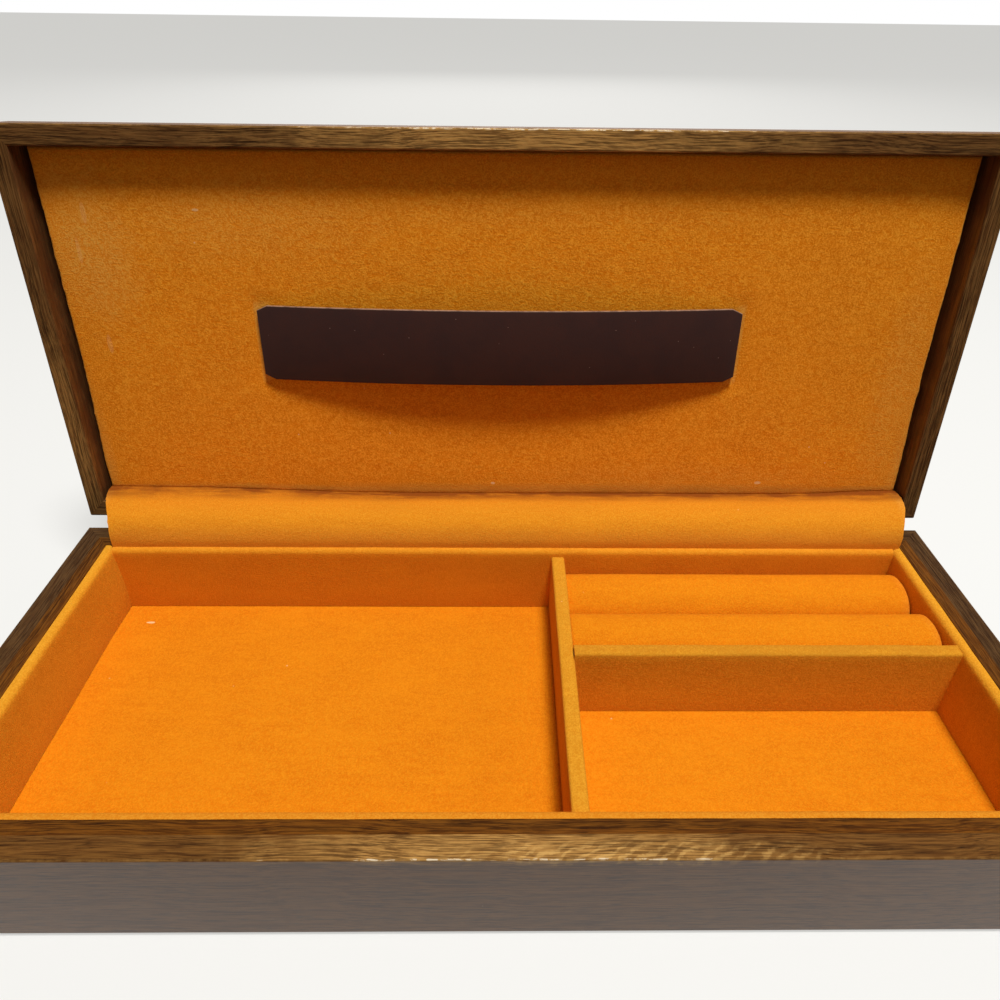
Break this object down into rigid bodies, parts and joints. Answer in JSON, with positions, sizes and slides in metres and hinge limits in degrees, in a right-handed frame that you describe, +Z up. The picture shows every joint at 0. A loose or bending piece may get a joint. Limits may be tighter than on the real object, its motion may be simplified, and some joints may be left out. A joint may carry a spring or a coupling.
{
  "type": "valet box",
  "caption": "Flat wooden valet box with a hinged lid, orange velvet lining, dividers, ring rolls and a leather strap in the lid.",
  "frame": {"origin": "centre of the underside, on the surface that the box stands on", "axes": "+X to the right seen from the front, +Y to the rear where the hinges are, +Z up"},
  "size_m": [0.33, 0.1738, 0.1782],
  "materials": {
    "case_wood": "dark walnut stain, satin, worn at the edges",
    "panel_wood": "dark walnut veneer, satin",
    "frame_wood": "dark stain",
    "bottom_board": "plain plywood",
    "felt": "felt",
    "card": "grey board",
    "velvet": "short orange velvet pile",
    "foam": "soft foam",
    "strap_leather": "dark brown smooth leather",
    "brass": "dulled brass"
  },
  "bodies": {
    "base": {"base_bottom_panel": "bottom_board", "base_felt": "felt", "base_wall_front": "case_wood", "base_wall_left": "case_wood", "base_wall_rear": "case_wood", "base_wall_right": "case_wood", "cross_divider_core": "card", "cross_divider_velvet": "velvet", "floor_board": "card", "floor_velvet": "velvet", "hinge_flap": "velvet", "hinge_leaf_base_left": "brass", "hinge_leaf_base_right": "brass", "hinge_pin_left": "brass", "hinge_pin_right": "brass", "hinge_screws_base": "brass", "inner_frame_front": "frame_wood", "inner_frame_left": "frame_wood", "inner_frame_rear": "frame_wood", "inner_frame_right": "frame_wood", "lining_board_front": "card", "lining_board_left": "card", "lining_board_rear": "card", "lining_board_right": "card", "lining_velvet_front": "velvet", "lining_velvet_left": "velvet", "lining_velvet_rear": "velvet", "lining_velvet_right": "velvet", "long_divider_core": "card", "long_divider_velvet": "velvet", "ring_roll_front_foam": "foam", "ring_roll_front_velvet": "velvet", "ring_roll_rear_foam": "foam", "ring_roll_rear_velvet": "velvet"},
    "lid": {"hinge_leaf_lid_left": "brass", "hinge_leaf_lid_right": "brass", "hinge_screws_lid": "brass", "lid_pad_card": "card", "lid_pad_foam": "foam", "lid_pad_velvet": "velvet", "lid_rail_front": "case_wood", "lid_rail_left": "case_wood", "lid_rail_rear": "case_wood", "lid_rail_right": "case_wood", "lid_strap": "strap_leather", "lid_top_panel": "panel_wood"}
  },
  "joints": [
    {"name": "lid_hinge", "type": "hinge", "parent": "base", "child": "lid", "pos_m": [0, 0.073, 0.0361], "axis": [-1, 0, 0], "range_deg": [-96, 0], "deforming": ["hinge_flap"]}
  ]
}
